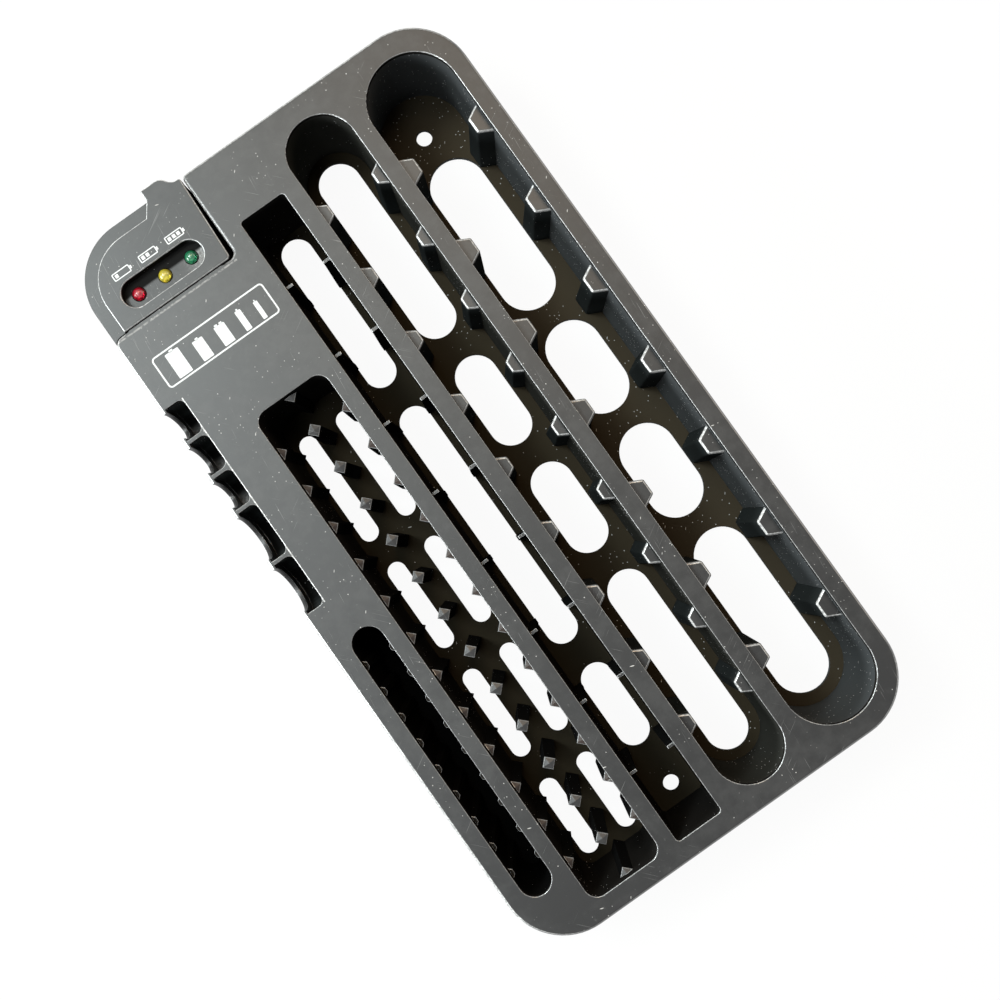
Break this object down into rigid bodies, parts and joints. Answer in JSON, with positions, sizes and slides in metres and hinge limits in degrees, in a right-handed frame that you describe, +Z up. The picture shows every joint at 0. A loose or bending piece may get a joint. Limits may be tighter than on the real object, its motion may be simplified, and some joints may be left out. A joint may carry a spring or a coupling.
{
  "type": "battery storage case",
  "caption": "Open plastic tray that stands batteries upright in rows between ribs and posts, with coin-cell pockets along one side and a lift-out tester with indicator lamps in one corner.",
  "frame": {"origin": "on the case's underside, midway between its outer side faces and midway between its end faces", "axes": "+Z up out of the battery rows, +Y along the case towards the tester, +X towards the D-cell row"},
  "size_m": [0.164, 0.3088, 0.0438],
  "materials": {
    "case_plastic": "satin black moulding with scuffs and dust",
    "tester_plastic": "satin black moulding",
    "cradle_plastic": "satin black moulding",
    "slider_plastic": "satin black moulding with grip ridges",
    "board_laminate": "green solder mask on laminate",
    "red_lens": "tinted lamp lens",
    "yellow_lens": "tinted lamp lens",
    "green_lens": "tinted lamp lens",
    "chip_package": "moulded chip package",
    "contact_metal": "nickel-plated strip",
    "spring_steel": "bright spring wire",
    "screw_steel": "zinc-plated steel"
  },
  "bodies": {
    "case": {"aa_cell_channel": "case_plastic", "aa_cell_posts": "case_plastic", "aaa_cell_channel": "case_plastic", "aaa_cell_ribs": "case_plastic", "c_cell_channel": "case_plastic", "c_cell_ribs": "case_plastic", "case_deck": "case_plastic", "case_skirt": "case_plastic", "coin_cell_pockets": "case_plastic", "d_cell_channel": "case_plastic", "d_cell_ribs": "case_plastic", "nine_volt_channel": "case_plastic", "nine_volt_ribs": "case_plastic", "stiffening_webs": "case_plastic", "tester_bay": "case_plastic"},
    "tester": {"tester_cover": "tester_plastic", "tester_cradle": "cradle_plastic", "circuit_board": "board_laminate", "red_led": "red_lens", "yellow_led": "yellow_lens", "green_led": "green_lens", "led_driver_chip": "chip_package", "board_resistors": "chip_package", "fixed_contact": "contact_metal", "spring_terminal": "contact_metal", "nine_volt_contacts": "contact_metal", "return_spring": "spring_steel", "cover_screws": "screw_steel"},
    "slider": {"contact_slider": "slider_plastic", "slider_contact": "contact_metal"}
  },
  "joints": [
    {"name": "tester_lift", "type": "slide", "parent": "case", "child": "tester", "axis": [0, 0, 1], "range_m": [0, 0.06]},
    {"name": "contact_slide", "type": "slide", "parent": "tester", "child": "slider", "axis": [-1, 0, 0], "range_m": [0, 0.02], "stiffness_N_per_m": 60, "springref_m": -0.01, "deforming": ["return_spring"]}
  ]
}
